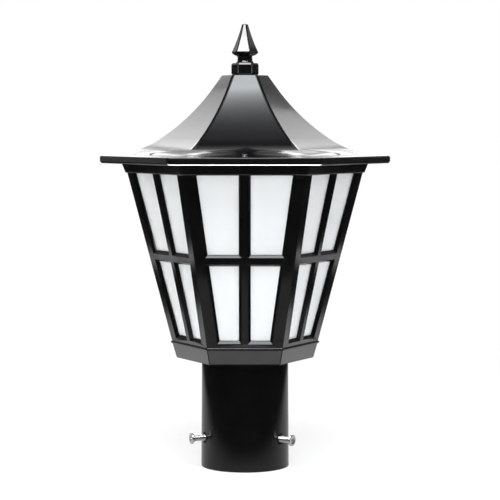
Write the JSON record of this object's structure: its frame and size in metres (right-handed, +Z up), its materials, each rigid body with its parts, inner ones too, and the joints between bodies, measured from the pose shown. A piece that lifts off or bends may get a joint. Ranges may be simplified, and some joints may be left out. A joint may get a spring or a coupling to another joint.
{
  "type": "garden light",
  "caption": "Hexagonal post-top garden lantern with a flared roof, spear finial, barred opal windows and a sleeve that clamps over a round post with set screws.",
  "frame": {"origin": "centre of the post sleeve at its foot, the lowest face", "axes": "+Z up along the post; a flat side of the hexagon faces -Y, and two of its corners lie on the X axis"},
  "size_m": [0.273, 0.2364, 0.4157],
  "materials": {
    "black_moulding": "satin-gloss black moulding",
    "black_steel": "blackened steel",
    "bright_screw": "bright nickel plate",
    "zinc_steel": "zinc plate",
    "black_rubber": "matt",
    "opal_pane": "smooth opal acrylic",
    "white_holder": "white moulding",
    "lamp_brass": "pressed",
    "lamp_white": "frosted"
  },
  "bodies": {
    "lantern": {"post_fitter": "black_moulding", "set_screw_inserts": "black_steel", "base_tray": "black_moulding", "fitter_screws": "zinc_steel", "cable_grommet": "black_rubber", "cage": "black_moulding", "cage_screws": "zinc_steel", "pane_1": "opal_pane", "pane_2": "opal_pane", "pane_3": "opal_pane", "pane_4": "opal_pane", "pane_5": "opal_pane", "pane_6": "opal_pane", "roof_gasket": "black_rubber", "roof": "black_moulding", "roof_screws": "black_steel", "finial": "black_moulding", "finial_nut": "black_moulding", "finial_stud": "zinc_steel", "stud_washer": "zinc_steel", "stud_nut": "zinc_steel", "lamp_bracket": "zinc_steel", "bracket_screws": "zinc_steel", "lampholder_body": "white_holder", "lampholder_shell": "lamp_brass", "lampholder_contact": "lamp_brass", "lampholder_screws": "zinc_steel", "lamp": "lamp_white"},
    "set_screw_1": {"set_screw_1": "bright_screw"},
    "set_screw_2": {"set_screw_2": "bright_screw"},
    "set_screw_3": {"set_screw_3": "bright_screw"}
  },
  "joints": [
    {"name": "set_screw_1_travel", "type": "slide", "parent": "lantern", "child": "set_screw_1", "axis": [0.9171, 0.3987, 0], "range_m": [-0.002, 0.01]},
    {"name": "set_screw_2_travel", "type": "slide", "parent": "lantern", "child": "set_screw_2", "axis": [-0.8039, 0.5948, 0], "range_m": [-0.002, 0.01]},
    {"name": "set_screw_3_travel", "type": "slide", "parent": "lantern", "child": "set_screw_3", "axis": [-0.1132, -0.9936, 0], "range_m": [-0.002, 0.01]}
  ]
}
